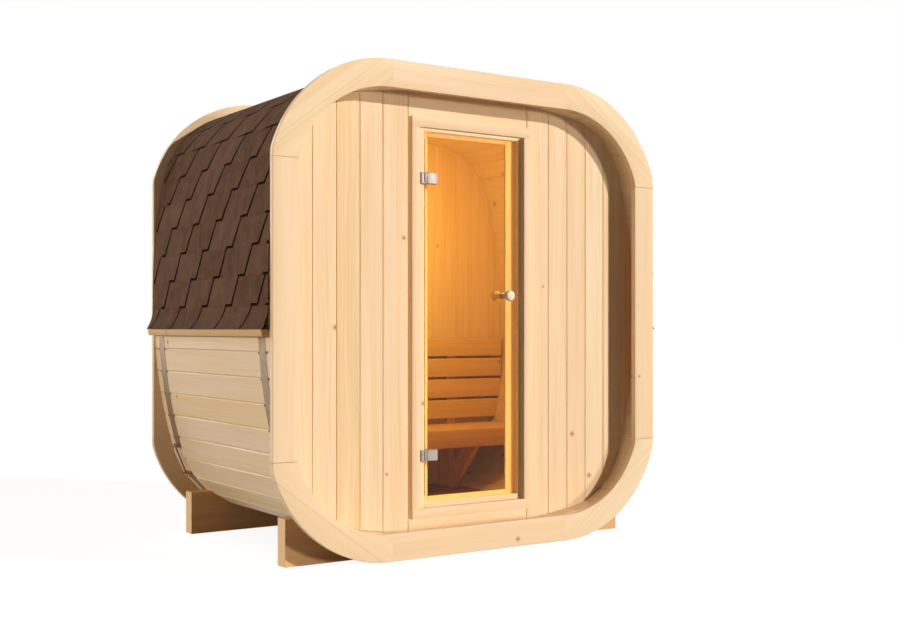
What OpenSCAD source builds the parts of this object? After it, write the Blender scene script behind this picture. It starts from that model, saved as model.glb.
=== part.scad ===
// Cube sauna: stave shell between two ring frames, shingled roof, glass door.
// Units are millimetres, +Z is up, the front faces -Y, ground is z = 0.

/* [Rings] */
// Outside width of both ring frames
ring_w = 2024; // [1700:1:2600]
// Outside height of both ring frames
ring_h = 2100; // [1800:1:2600]
// Overall depth, front face of front ring to rear face of rear ring
depth = 1336; // [1100:1:2400]
// Thickness of the ring boards
ring_t = 28; // [18:1:45]
// Width of the ring boards on their face
ring_face = 117; // [80:1:160]
// Radius of the rounded outside corners
ring_corner_r = 562; // [300:1:700]
// Distance of the corner arc's centre from the side edge
corner_in = 542; // [300:1:700]
// Distance of the joints in the rails from the side edge
rail_joint_in = 552; // [400:1:720]
// Distance of the joints in the stiles from the top and bottom edges
stile_joint_in = 445; // [300:1:600]

/* [Shell] */
// Thickness of the wall staves
stave_t = 28; // [20:1:45]
// Width that one stave covers
stave_w = 106.8; // [80:0.1:140]
// Gap at each stave joint
joint_gap = 0.4; // [0.2:0.1:1]
// How far the shell stands inside the ring at mid height
shell_side_in = 3; // [0:1:30]
// How far the shell stands below the ring at top and bottom
shell_top_in = 56; // [30:1:120]
// Bulge radius of the side walls
side_r = 2305; // [1500:5:6000]
// Bulge radius of the top and bottom
top_r = 3529; // [1500:5:6000]
// Corner radius of the shell
corner_r = 384; // [250:1:600]

/* [Walls] */
// Distance from the ring face to the end wall face
wall_in = 106; // [60:1:200]
// Thickness of the end wall boards
wall_t = 28; // [18:1:45]

/* [Door frame] */
// Outside width of the door frame
frame_w = 644; // [560:1:800]
// Height of the frame underside above ground
frame_z0 = 155; // [130:1:260]
// Outside height of the door frame
frame_h = 1735; // [1500:1:1900]
// Face width of the frame sides
side_face = 40; // [25:1:60]
// Face width of the frame head
head_face = 45; // [25:1:60]
// Face width of the frame sill
sill_face = 43; // [25:1:60]
// How far the frame stands out from the wall
frame_out = 34; // [10:1:45]
// Depth of each rebate step
rebate = 26; // [20:1:34]
// Thickness of the inner stop
stop_t = 10; // [6:1:30]
// Width of the first step on the hinge side
step_hinge = 37; // [28:1:50]
// Width of the first step on the latch side and the head
step_latch = 14; // [10:1:30]
// Width of the first step on the sill
step_sill = 24; // [10:1:40]
// Half width of the clear way through the frame
clear_hw = 212; // [190:1:300]
// Height of the inner stop on the head
stop_head = 18; // [12:1:60]
// Height of the inner stop on the sill
stop_sill = 20; // [8:1:40]

/* [Door] */
// Thickness of the glass pane
glass_t = 8; // [6:1:12]
// Running gap round the glass pane
glass_gap = 5.5; // [5:0.5:10]
// Height of the knob axis above ground
knob_z = 1123; // [900:1:1300]
// Distance of the knob axis from the edge of the clear way
knob_in = 30.5; // [26:0.5:80]
// Diameter of the turned knobs
knob_d = 50; // [35:1:70]
// Length of a knob from the glass
knob_len = 62; // [30:1:80]
// Height of a hinge
hinge_h = 50; // [36:1:80]
// Distance of each hinge from the end of the glass
hinge_in = 197; // [120:1:400]
// Width of the hinge leaf on the glass
leaf_w = 58; // [35:1:90]
// How far the fixed leaf reaches over the frame
leaf_fixed = 20; // [14:1:30]
// Thickness of the inner clamp plate
clamp_t = 5; // [3:0.5:8]
// Diameter of the hinge pin
pin_d = 6; // [4:0.5:8]
// Radius of the hinge knuckle
knuckle_r = 6; // [5.5:0.5:8]
// Height of the fixed knuckle at each end of a hinge
knuckle_h = 5; // [4:0.5:8]

/* [Bench] */
// Height of the seat above ground
seat_z = 458; // [400:1:600]
// Depth of the seat from front to back
seat_depth = 398; // [330:1:600]
// Thickness of the seat boards
seat_t = 28; // [18:1:40]
// Number of seat boards behind the front board
seat_boards = 4; // [2:1:6]
// Gap between the seat boards
seat_gap = 12; // [6:1:25]
// Height of the front board of the bench
apron_h = 92; // [60:1:140]
// Thickness of the front board of the bench
apron_t = 22; // [16:1:35]
// Distance of each support from the middle
support_x = 528; // [200:1:650]
// Thickness of the support boards
support_t = 28; // [18:1:40]
// Width of the upright of a support
leg_w = 90; // [60:1:120]
// Distance of the upright from the seat front
leg_in = 242; // [150:1:260]
// Width of the slanted brace
brace_w = 80; // [50:1:100]
// Distance of the brace foot from the seat front
brace_in = 205; // [100:1:240]
// Height of each backrest slat
slat_h = 100; // [60:1:140]
// Thickness of the backrest slats
slat_t = 20; // [14:1:30]
// Gap between the slats
slat_gap = 12.5; // [6:0.5:30]
// Height of the top edge of the backrest
back_top_z = 925; // [860:1:1100]
// Distance of the slat ends from the ring's side edge
slat_in = 60; // [50:1:200]
// Width of the backrest posts
post_w = 60; // [40:1:90]
// Thickness of the backrest posts
post_t = 22; // [16:1:40]
// Distance of the outer backrest posts from the middle
post_x = 627; // [400:1:700]

/* [Floor and feet] */
// Height of the floor surface above ground
floor_z = 135; // [125:1:150]
// Thickness of the floor boards
floor_t = 24; // [18:1:30]
// Width of the floor bearers
bearer_w = 42; // [30:1:60]
// Length of the feet across the sauna
foot_len = 1784; // [1400:1:2000]
// Height of the feet at their ends
foot_h = 198; // [120:1:260]
// Thickness of the feet
foot_t = 68; // [40:1:100]
// Distance of each foot from the ring face
foot_in = 137; // [100:1:300]

/* [Roof] */
// Build-up of the roof boards at the eaves
roof_t_low = 3; // [2:0.5:30]
// Build-up of the roof boards over the shoulders and top
roof_t_high = 37; // [15:1:50]
// Length over which the build-up grows, from mid height upwards
roof_rise = 700; // [200:1:900]
// Clearance between the roof and each ring
roof_gap = 4; // [2:1:30]
// Number of full shingle courses on each side
courses = 13; // [8:1:18]
// Exposed height of the lowest course
first_course = 93; // [60:1:160]
// Width of the ridge shingle over both slopes
ridge_w = 241; // [120:1:400]
// Thickness of a shingle course at its upper edge
shingle_t = 4.5; // [3:0.5:10]
// Extra thickness at the lapped lower edge
lap_t = 3; // [1:0.5:10]
// Height of the lowest shingle edge above ground
eave_z = 975; // [850:1:1050]
// How far the lowest shingle edge flares out
flare = 32; // [0:1:60]
// Length of the flared part
flare_len = 90; // [40:1:150]
// Height of the eave batten
batten_h = 32; // [18:1:60]
// Thickness of the eave batten
batten_t = 30; // [18:1:34]
// How far the shingles reach past the roof boards at each end
overhang = 6; // [0:1:20]
// Distance of the batten from the front end of the roof
batten_in = 12; // [2:1:40]

/* [Straps] */
// Width of the steel straps
strap_w = 60; // [30:1:80]
// Thickness of the steel straps
strap_t = 1.2; // [0.8:0.1:3]
// Distance of each strap from the ring face
strap_in = 86; // [40:1:130]
// Place of the tightener, along the shell from the bottom middle
tightener_at = 1007; // [700:1:1300]
// Length of the opening between the two strap ends
tightener_len = 134; // [80:1:200]
// Height of the folded strap ends
lug_h = 26; // [18:1:40]
// Thickness of the folded strap ends
lug_t = 4; // [2:0.5:8]
// Diameter of the tightening rod
rod_d = 8; // [6:1:12]
// How far the rod stands out past each folded end
rod_out = 14; // [8:1:30]

/* [View] */
// Sub-part to draw

/* [Hidden] */

$fn = 64;
// gap between neighbouring fixed pieces
fit = 0.3;
y_front = -depth / 2;
y_rear = depth / 2;
zc = ring_h / 2;
hw = ring_w / 2;
hh = ring_h / 2;

// ---- shell section: side arc, corner arc and top arc, each tangent to the next ----
side_x = hw - shell_side_in;
top_z = hh - shell_top_in;
// centres of the side arc on the X axis and of the top arc on the Z axis
side_cx = side_x - side_r;
top_cz = top_z - top_r;
// the corner arc's centre lies reach_side from one and reach_top from the other
reach_side = side_r - corner_r;
reach_top = top_r - corner_r;
apart = sqrt(side_cx * side_cx + top_cz * top_cz);
along = (reach_side * reach_side - reach_top * reach_top + apart * apart) / (2 * apart);
across = sqrt(reach_side * reach_side - along * along);
dir_x = -side_cx / apart;
dir_z = top_cz / apart;
corner_cx = side_cx + dir_x * along - dir_z * across;
corner_cz = dir_z * along + dir_x * across;
a_side = atan2(corner_cz, corner_cx - side_cx);
a_top = atan2(corner_cz - top_cz, corner_cx);
len_side = side_r * a_side * PI / 180;
len_corner = corner_r * (a_top - a_side) * PI / 180;
len_q = len_side + len_corner + top_r * (90 - a_top) * PI / 180;
half_len = 2 * len_q;

// point of the upper right quarter at length f above mid height, d outside the surface
function pt_q(f, d) = f < len_side
  ? let (a = f / side_r * 180 / PI) [side_cx + (side_r + d) * cos(a), (side_r + d) * sin(a)]
  : f < len_side + len_corner
  ? let (a = a_side + (f - len_side) / corner_r * 180 / PI)
    [corner_cx + (corner_r + d) * cos(a), corner_cz + (corner_r + d) * sin(a)]
  : let (a = a_top + (f - len_side - len_corner) / top_r * 180 / PI)
    [(top_r + d) * cos(a), top_cz + (top_r + d) * sin(a)];
// point at length t along the shell, from the bottom middle up the left side to the
// top middle at half_len; t below zero or past half_len goes on along the right side
function left_pt(t, d) = let (p = pt_q(abs(t - len_q), d)) [-p[0], t < len_q ? -p[1] : p[1]];
function shell_pt(t, d) = t < 0 ? let (p = left_pt(-t, d)) [-p[0], p[1]]
  : t > half_len ? let (p = left_pt(2 * half_len - t, d)) [-p[0], p[1]]
  : left_pt(t, d);

// one stave is centred at the bottom, and two cut ones meet at the top middle
closer_min = 20;
whole = floor((half_len - stave_w / 2 - closer_min) / stave_w);
last = whole + 1;
function joint(i) = i > last ? half_len : (i - 0.5) * stave_w;
// stave that lies at length t
function stave_at(t) = floor(t / stave_w + 0.5);
// point on the flat face of the stave at length t
function facet_pt(t, d) = let (i = stave_at(t), p = left_pt(joint(i), d),
  q = left_pt(joint(i + 1), d)) p + (q - p) * (t - joint(i)) / (joint(i + 1) - joint(i));
function flipped(p) = [-p[0], p[1]];

// section outline at offset d, with a corner at every stave joint
module section(d) {
  polygon(concat(
    [for (i = [1:last + 1]) left_pt(joint(i), d)],
    [for (i = [last:-1:1]) flipped(left_pt(joint(i), d))]
  ));
}

// draws a section in the X-Z plane and carries it along Y from y0 to y1
module along_y(y0, y1) {
  translate([0, y1, zc]) rotate([90, 0, 0]) linear_extrude(y1 - y0) children();
}

// a box given by its limits
module span(x0, x1, y0, y1, z0, z1) {
  translate([x0, y0, z0]) cube([x1 - x0, y1 - y0, z1 - z0]);
}

// ---- ring frames ----
ring_cx = hw - corner_in;
ring_cz = hh - ring_corner_r;
seam_x = hw - rail_joint_in;
seam_z = hh - stile_joint_in;
seam_gap = 0.2;

module ring_outline(inset) {
  r = ring_corner_r - inset;
  intersection() {
    square([2 * (hw - inset), 2 * (hh - inset)], center = true);
    union() {
      square([2 * ring_cx, 2 * (hh - inset)], center = true);
      square([2 * (ring_cx + r), 2 * ring_cz], center = true);
      for (sx = [-1, 1]) for (sz = [-1, 1])
        translate([sx * ring_cx, sz * ring_cz]) circle(r = r, $fn = 96);
    }
  }
}

module ring_face_2d() {
  difference() {
    ring_outline(0);
    ring_outline(ring_face);
  }
}

module ring_rails(y0) {
  along_y(y0, y0 + ring_t) intersection() {
    ring_face_2d();
    square([2 * seam_x, ring_h], center = true);
  }
}

module ring_stiles(y0) {
  along_y(y0, y0 + ring_t) intersection() {
    ring_face_2d();
    square([ring_w, 2 * seam_z], center = true);
  }
}

module ring_corners(y0) {
  x0 = seam_x + seam_gap;
  z0 = seam_z + seam_gap;
  along_y(y0, y0 + ring_t) for (sx = [-1, 1]) for (sz = [-1, 1])
    scale([sx, sz]) intersection() {
      ring_face_2d();
      translate([x0, z0]) square([hw - x0, hh - z0]);
    }
}

// ---- stave shell ----
module stave_2d(i) {
  t0 = i == 0 ? -joint(1) + joint_gap / 2 : joint(i) + joint_gap / 2;
  t1 = joint(i + 1) - joint_gap / 2;
  polygon([
    shell_pt(t0, -stave_t), shell_pt(t1, -stave_t),
    shell_pt(t1, 0), shell_pt(t0, 0)
  ]);
}

module staves(i0, i1, side) {
  along_y(y_front + ring_t, y_rear - ring_t) scale([side, 1])
    for (i = [i0:i1]) stave_2d(i);
}

// last stave of the floor, low, middle and high groups on each side
last_floor = floor(0.14 * last);
last_low = floor(0.39 * last);
last_mid = floor(0.61 * last);
last_high = floor(0.86 * last);

module front_ring_rails() { color("burlywood") ring_rails(y_front); }
module front_ring_stiles() { color("burlywood") ring_stiles(y_front); }
module front_ring_corners() { color("burlywood") ring_corners(y_front); }
module rear_ring_rails() { color("burlywood") ring_rails(y_rear - ring_t); }
module rear_ring_stiles() { color("burlywood") ring_stiles(y_rear - ring_t); }
module rear_ring_corners() { color("burlywood") ring_corners(y_rear - ring_t); }

module shell_floor_staves() {
  color("wheat") {
    staves(0, last_floor, -1);
    staves(1, last_floor, 1);
  }
}
module shell_left_low_staves() { color("wheat") staves(last_floor + 1, last_low, 1); }
module shell_left_staves() { color("wheat") staves(last_low + 1, last_mid, 1); }
module shell_left_high_staves() { color("wheat") staves(last_mid + 1, last_high, 1); }
module shell_top_staves() {
  color("wheat") for (side = [-1, 1]) staves(last_high + 1, last, side);
}
module shell_right_high_staves() { color("wheat") staves(last_mid + 1, last_high, -1); }
module shell_right_staves() { color("wheat") staves(last_low + 1, last_mid, -1); }
module shell_right_low_staves() { color("wheat") staves(last_floor + 1, last_low, -1); }

// ---- end walls ----
wall_y = y_front + wall_in;
room_y0 = wall_y + wall_t;
room_y1 = y_rear - wall_in - wall_t;
// what fits inside the shell with a gap
module inside_2d(gap) {
  section(-stave_t - gap);
}

module front_wall(x0, x1, z0, z1) {
  along_y(wall_y, room_y0) intersection() {
    inside_2d(fit);
    translate([x0, z0 - zc]) square([x1 - x0, z1 - z0]);
  }
}

fw = frame_w / 2;
fz1 = frame_z0 + frame_h;
module front_wall_left() {
  color("wheat") front_wall(-hw, -fw - fit, 0, ring_h);
}
module front_wall_right() {
  color("wheat") front_wall(fw + fit, hw, 0, ring_h);
}
module front_wall_header() {
  color("wheat") front_wall(-fw, fw, fz1 + fit, ring_h);
}
module front_wall_sill_board() {
  color("wheat") front_wall(-fw, fw, 0, frame_z0 - fit);
}
module rear_wall() {
  color("wheat") along_y(room_y1, room_y1 + wall_t) inside_2d(fit);
}

// ---- door frame: an outer lip, a first step where the glass hangs, and a stop ----
fy = wall_y - frame_out;
s1y = fy + rebate;
s2y = s1y + rebate;
fy1 = s2y + stop_t;
lip_x = fw - side_face;
lip_z0 = frame_z0 + sill_face;
lip_z1 = fz1 - head_face;
st_xl = -lip_x + step_hinge;
st_xr = lip_x - step_latch;
st_z0 = lip_z0 + step_sill;
st_z1 = lip_z1 - step_latch;

// side board of the frame from the outer edge x0 to the steps x1, x2 and x3
module jamb(x0, x1, x2, x3) {
  span(min(x0, x1), max(x0, x1), fy, fy1, lip_z0, lip_z1);
  span(min(x0, x2), max(x0, x2), s1y, fy1, lip_z0, lip_z1);
  span(min(x0, x3), max(x0, x3), s2y, fy1, lip_z0, lip_z1);
}

// head or sill board, fitted between the steps of the sides
module rail(z0, z1, z2, z3) {
  c = seam_gap;
  span(-fw, fw, fy, fy1, min(z0, z1), max(z0, z1));
  span(st_xl + c, st_xr - c, s1y, s2y, min(z1, z2), max(z1, z2));
  span(-clear_hw + c, clear_hw - c, s2y, fy1, min(z1, z3), max(z1, z3));
}

module door_jamb_left() {
  color("burlywood") jamb(-fw, -lip_x, st_xl, -clear_hw);
}
module door_jamb_right() {
  color("burlywood") jamb(fw, lip_x, st_xr, clear_hw);
}
module door_head() {
  color("burlywood") rail(fz1, lip_z1, st_z1, st_z1 - stop_head);
}
module door_sill() {
  color("burlywood") rail(frame_z0, lip_z0, st_z0, st_z0 + stop_sill);
}

// ---- floor ----
module floor_boards() {
  color("saddlebrown") along_y(max(room_y0, fy1) + fit, room_y1 - fit) intersection() {
    inside_2d(fit);
    translate([-hw, floor_z - floor_t - zc]) square([ring_w, floor_t]);
  }
}
module floor_bearers() {
  // the two outer bearers stand a tenth of the room's depth from the walls
  in = 0.1 * (room_y1 - room_y0);
  ys = [room_y0 + in, -bearer_w / 2, room_y1 - in - bearer_w];
  color("peru") for (y = ys) along_y(y, y + bearer_w) intersection() {
    inside_2d(fit);
    translate([-hw, -hh]) square([ring_w, floor_z - floor_t]);
  }
}

// ---- bench ----
// gap behind the seat boards
seat_behind = 12;
seat_y1 = room_y1 - seat_behind;
seat_y0 = seat_y1 - seat_depth;
// board that runs across the room between the limits given, fitted to the shell
module cross_board(y0, y1, z0, z1) {
  along_y(y0, y1) intersection() {
    inside_2d(fit);
    translate([-hw, z0 - zc]) square([ring_w, z1 - z0]);
  }
}
module bench_seat() {
  w = (seat_depth - apron_t - (seat_boards - 1) * seat_gap) / seat_boards;
  color("burlywood") for (i = [0:seat_boards - 1]) {
    y0 = seat_y0 + apron_t + i * (w + seat_gap);
    cross_board(y0, y0 + w, seat_z - seat_t, seat_z);
  }
}
module bench_apron() {
  color("burlywood") cross_board(seat_y0, seat_y0 + apron_t, seat_z - apron_h, seat_z);
}

// support: cross bar under the seat, upright and slanted brace, cut from one board
module support_2d() {
  z1 = seat_z - apron_h;
  fall = z1 - floor_z;
  // the brace is measured square to its edges, this is its width along the floor
  wide = brace_w * sqrt(fall * fall + brace_in * brace_in) / fall;
  translate([seat_y0 + apron_t, z1])
    square([room_y1 - fit - seat_y0 - apron_t, seat_z - seat_t - z1]);
  translate([seat_y0 + leg_in, floor_z]) square([leg_w, seat_z - seat_t - floor_z]);
  polygon([
    [seat_y0, z1], [seat_y0 + wide, z1],
    [seat_y0 + wide + brace_in, floor_z], [seat_y0 + brace_in, floor_z]
  ]);
}
module bench_legs() {
  color("peru") for (x = [-support_x, support_x])
    translate([x - support_t / 2, 0, 0]) rotate([90, 0, 90])
      linear_extrude(support_t) support_2d();
}

slat_y1 = room_y1 - post_t;
// the posts stop this far below the top edge of the backrest
post_short = 20;
module backrest_slats() {
  color("burlywood") for (i = [0:3]) {
    z1 = back_top_z - i * (slat_h + slat_gap);
    along_y(slat_y1 - slat_t, slat_y1) intersection() {
      inside_2d(fit);
      translate([slat_in - hw, z1 - slat_h - zc]) square([ring_w - 2 * slat_in, slat_h]);
    }
  }
}
module backrest_posts() {
  color("peru") for (x = [-post_x, 0, post_x])
    span(x - post_w / 2, x + post_w / 2, slat_y1, room_y1, seat_z, back_top_z - post_short);
}

// ---- straps round the shell ----
strap_y0 = y_front + strap_in;
tight_t0 = tightener_at - tightener_len / 2;
tight_t1 = tightener_at + tightener_len / 2;

// folded strap end: a lug that stands square to the stave face from t0 to t1
module lug_2d(t0, t1) {
  polygon([
    facet_pt(t0, fit), facet_pt(t1, fit),
    facet_pt(t1, lug_h), facet_pt(t0, lug_h)
  ]);
}
module strap_2d() {
  far = 2 * lug_h;
  difference() {
    section(fit + strap_t);
    section(fit);
    polygon([
      left_pt(tight_t0, -far), left_pt(tight_t1, -far),
      left_pt(tight_t1, far), left_pt(tight_t0, far)
    ]);
  }
  lug_2d(tight_t0 - lug_t, tight_t0);
  lug_2d(tight_t1, tight_t1 + lug_t);
}
// threaded rod through both lugs, at seven tenths of their height
module tightening_rod(y) {
  p = facet_pt(tight_t0, 0.7 * lug_h);
  q = facet_pt(tight_t1, 0.7 * lug_h);
  dx = q[0] - p[0];
  dz = q[1] - p[1];
  out = lug_t + rod_out;
  translate([p[0], y, p[1] + zc]) rotate([0, atan2(dx, dz), 0]) translate([0, 0, -out])
    cylinder(d = rod_d, h = norm(q - p) + 2 * out, $fn = 24);
}
module strap(y0) {
  along_y(y0, y0 + strap_w) strap_2d();
  tightening_rod(y0 + strap_w / 2);
}
module front_strap() { color("silver") strap(strap_y0); }
module rear_strap() { color("silver") strap(-strap_y0 - strap_w); }

// ---- feet, cut out to the shell and notched over the straps ----
notch_gap = 0.8;
module foot(y0) {
  difference() {
    span(-foot_len / 2, foot_len / 2, y0, y0 + foot_t, 0, foot_h);
    along_y(y_front, y_rear) section(fit);
    for (y = [strap_y0, -strap_y0 - strap_w])
      along_y(y - notch_gap, y + strap_w + notch_gap) section(fit + strap_t + notch_gap);
  }
}
module front_foot() { color("burlywood") foot(y_front + foot_in); }
module rear_foot() { color("burlywood") foot(y_rear - foot_in - foot_t); }

// ---- roof ----
roof_y0 = y_front + ring_t + roof_gap;
roof_y1 = y_rear - ring_t - roof_gap;
roof_base = fit + strap_t + fit;
// length along the shell at height z, for heights on the side arc
function t_at(z) = len_q + side_r * asin((z - zc) / side_r) * PI / 180;
t_eave = t_at(eave_z);
lap_gap = 0.15;
under_gap = 0.5;

// the build-up grows smoothly from mid height on
function growth(t) = let (f = min(1, max(0, (t - len_q) / roof_rise))) f * f * (3 - 2 * f);
function build_up(t) = let (u = min(t, 2 * half_len - t))
  roof_base + roof_t_low + (roof_t_high - roof_t_low) * growth(u);
first_board = ceil((t_eave + joint_gap) / stave_w + 0.5);
module roof_boards(side) {
  c = joint_gap / 2;
  along_y(roof_y0 + overhang, roof_y1 - overhang) scale([side, 1])
    for (i = [first_board:last]) {
      t0 = joint(i) + c;
      t1 = joint(i + 1) - c;
      polygon([
        left_pt(t0, roof_base), left_pt(t1, roof_base),
        left_pt(t1, build_up(t1)), left_pt(t0, build_up(t0))
      ]);
    }
}
module roof_boards_left() { color("tan") roof_boards(1); }
module roof_boards_right() { color("tan") roof_boards(-1); }

// battens under the lowest shingle edge, thicker at the top where the shingles flare
batten_top_gap = 1;
batten_rear_in = 2;
module eave_batten_2d() {
  low = left_pt(t_at(eave_z - batten_h), roof_base);
  t = t_eave - batten_top_gap;
  polygon([
    low, [low[0] - batten_t, low[1]],
    left_pt(t, roof_base + roof_t_low + flare), left_pt(t, roof_base)
  ]);
}
module eave_battens() {
  color("burlywood") along_y(roof_y0 + batten_in, roof_y1 - batten_rear_in) for (sx = [-1, 1])
    scale([sx, 1]) eave_batten_2d();
}

// shingle courses: a short lowest one and full ones above it, up to the ridge
t_ridge = half_len - ridge_w / 2;
course = (t_ridge - t_eave - first_course) / courses;
function row(k) = k == 0 ? t_eave : t_eave + first_course + (k - 1) * course;
// the lowest shingles lift away from the wall as the square of the way down
function flare_d(t) = let (f = max(0, 1 - (t - t_eave) / flare_len)) flare * f * f;
function shingle_in(t) = build_up(t) + under_gap + flare_d(t);
steps = 5;
module course_2d(k) {
  t0 = row(k) + lap_gap;
  t1 = row(k + 1) - lap_gap;
  polygon(concat(
    [for (j = [0:steps]) let (t = t0 + (t1 - t0) * j / steps) left_pt(t, shingle_in(t))],
    [for (j = [0:steps]) let (t = t1 - (t1 - t0) * j / steps)
      left_pt(t, shingle_in(t) + shingle_t + lap_t * j / steps)]
  ));
}
module roof_shingles(side) {
  along_y(roof_y0, roof_y1) scale([side, 1]) for (k = [0:courses]) course_2d(k);
}
module roof_shingles_left() { color("sienna") roof_shingles(1); }
module roof_shingles_right() { color("sienna") roof_shingles(-1); }
module ridge_shingle() {
  t0 = t_ridge + lap_gap;
  t1 = 2 * half_len - t0;
  n = 2 * steps;
  color("sienna") along_y(roof_y0, roof_y1) polygon(concat(
    [for (j = [0:n]) let (t = t0 + (t1 - t0) * j / n) shell_pt(t, build_up(t) + under_gap)],
    [for (j = [0:n]) let (t = t1 - (t1 - t0) * j / n)
      shell_pt(t, build_up(t) + under_gap + shingle_t + lap_t)]
  ));
}

// ---- door leaf and its fittings ----
gx0 = st_xl + glass_gap;
gx1 = st_xr - glass_gap;
gz0 = st_z0 + glass_gap;
gz1 = st_z1 - glass_gap;
gy0 = s1y;
gy1 = gy0 + glass_t;
// hinge axis, in front of the gap at the hinge side
pin_off = 3.5;
knuckle_clear = 1;
hx = gx0 - pin_off;
hy = gy0 - knuckle_r - knuckle_clear;
hinge_zs = [gz0 + hinge_in, gz1 - hinge_in];
// play round the pin, and between the knuckles and the plates
pin_play = 0.15;
side_play = 0.5;
plate_play = 3;

module door_glass() {
  color("orange") span(gx0, gx1, gy0, gy1, gz0, gz1);
}

// fixed half of a hinge: plate on the frame step, two knuckles and the pin
module hinge_fixed(z) {
  z0 = z - hinge_h / 2;
  x1 = hx - knuckle_r - plate_play;
  span(st_xl - leaf_fixed, x1, hy - knuckle_r, gy0, z0, z0 + hinge_h);
  for (zk = [z0, z0 + hinge_h - knuckle_h]) {
    translate([hx, hy, zk]) cylinder(r = knuckle_r, h = knuckle_h, $fn = 32);
    span(x1 - 1, hx, hy - knuckle_r / 2, hy + knuckle_r / 2, zk, zk + knuckle_h);
  }
  translate([hx, hy, z0]) cylinder(d = pin_d, h = hinge_h, $fn = 32);
}

// moving half: plates on both faces of the glass and a knuckle on the pin
module hinge_moving(z) {
  z0 = z - hinge_h / 2;
  k0 = z0 + knuckle_h + side_play;
  kh = hinge_h - 2 * (knuckle_h + side_play);
  difference() {
    union() {
      translate([hx, hy, k0]) cylinder(r = knuckle_r, h = kh, $fn = 32);
      span(hx, hx + knuckle_r + 2, hy - knuckle_r / 2, hy + knuckle_r / 2, k0, k0 + kh);
      span(hx + knuckle_r + 1, gx0 + leaf_w, hy - knuckle_r, gy0, z0, z0 + hinge_h);
    }
    translate([hx, hy, k0 - 1]) cylinder(d = pin_d + 2 * pin_play, h = kh + 2, $fn = 32);
  }
  span(gx0 + glass_t, gx0 + leaf_w, gy1, gy1 + clamp_t, z0, z0 + hinge_h);
}
module door_hinge_leaves() {
  color("silver") for (z = hinge_zs) hinge_moving(z);
}
module frame_hinge_leaves() {
  color("silver") for (z = hinge_zs) hinge_fixed(z);
}

// turned knob with a slim neck, its axis along Y; dir is -1 outside and 1 inside
module knob(dir) {
  d = knob_d;
  l = knob_len;
  translate([clear_hw - knob_in, dir < 0 ? gy0 : gy1, knob_z]) rotate([-dir * 90, 0, 0])
    rotate_extrude($fn = 48) polygon([
      [0, 0], [d * 0.3, 0], [d * 0.3, l * 0.06], [d * 0.22, l * 0.16],
      [d * 0.22, l * 0.4], [d * 0.32, l * 0.52], [d * 0.46, l * 0.64],
      [d * 0.5, l * 0.78], [d * 0.48, l * 0.9], [d * 0.4, l * 0.98], [0, l]
    ]);
}
module door_knob_outer() { color("burlywood") knob(-1); }
module door_knob_inner() { color("burlywood") knob(1); }

front_ring_rails();
front_ring_stiles();
front_ring_corners();
rear_ring_rails();
rear_ring_stiles();
rear_ring_corners();
shell_floor_staves();
shell_left_low_staves();
shell_left_staves();
shell_right_low_staves();
shell_right_staves();
shell_left_high_staves();
shell_right_high_staves();
shell_top_staves();
front_wall_left();
front_wall_right();
front_wall_header();
front_wall_sill_board();
rear_wall();
door_jamb_left();
door_jamb_right();
door_head();
door_sill();
floor_boards();
floor_bearers();
bench_seat();
bench_apron();
bench_legs();
backrest_slats();
backrest_posts();
front_foot();
rear_foot();
front_strap();
rear_strap();
eave_battens();
roof_boards_left();
roof_boards_right();
roof_shingles_left();
roof_shingles_right();
ridge_shingle();
door_glass();
door_hinge_leaves();
door_knob_outer();
door_knob_inner();
frame_hinge_leaves();
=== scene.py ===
import bmesh
import bpy
import math
import numpy as np
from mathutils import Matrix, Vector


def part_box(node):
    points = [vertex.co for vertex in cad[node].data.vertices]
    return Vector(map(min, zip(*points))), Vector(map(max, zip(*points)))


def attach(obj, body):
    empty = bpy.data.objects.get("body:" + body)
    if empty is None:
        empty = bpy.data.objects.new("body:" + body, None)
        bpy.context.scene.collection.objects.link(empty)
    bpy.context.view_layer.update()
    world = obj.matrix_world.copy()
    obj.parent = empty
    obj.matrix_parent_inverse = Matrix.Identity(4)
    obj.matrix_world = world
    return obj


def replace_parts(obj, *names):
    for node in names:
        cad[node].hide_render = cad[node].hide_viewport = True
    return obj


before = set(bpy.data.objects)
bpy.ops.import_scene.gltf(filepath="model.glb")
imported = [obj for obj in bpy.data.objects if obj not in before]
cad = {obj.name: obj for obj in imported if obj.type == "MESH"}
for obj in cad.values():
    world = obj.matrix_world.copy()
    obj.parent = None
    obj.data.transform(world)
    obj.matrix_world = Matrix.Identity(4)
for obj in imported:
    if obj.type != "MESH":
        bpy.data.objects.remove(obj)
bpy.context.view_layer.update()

# Camera: it stands well to the left of the door at the height of the knob's lower half and
# looks past the left front corner, so the door side and the shingled side both show.
lens = bpy.data.cameras.new("camera")
lens.sensor_width = 36.0
lens.lens = 49.009
lens.shift_y = 0.01053
camera = bpy.data.objects.new("camera", lens)
camera.location = (-3.1212, -5.0433, 0.9732)
camera.rotation_euler = (math.pi / 2, 0.0, -0.59262)
bpy.context.scene.collection.objects.link(camera)
bpy.context.scene.camera = camera
bpy.context.scene.view_settings.view_transform = "Standard"

# Ring frames: four straight spruce boards and four sawn corner pieces to each ring, 28 mm
# thick, planed and butted together. A corner piece is glued up from boards that run across
# the corner and sawn to the curve afterwards.
ring_lo, ring_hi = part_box("front_ring_corners")
half_wide = ring_hi.x
mid_high = ring_hi.z / 2
ring_face = 0.117
board_t = 0.028
ring_ease = 0.0025
arc_r = 0.562
arc_in = 0.542
tight = 0.0002
glued_board = 0.2288
glue_lean = (0.802, 0.598)
arc_x = half_wide - arc_in
arc_z = mid_high - arc_r
rail_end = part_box("front_ring_rails")[1].x
stile_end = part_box("front_ring_stiles")[1].z - mid_high


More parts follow.
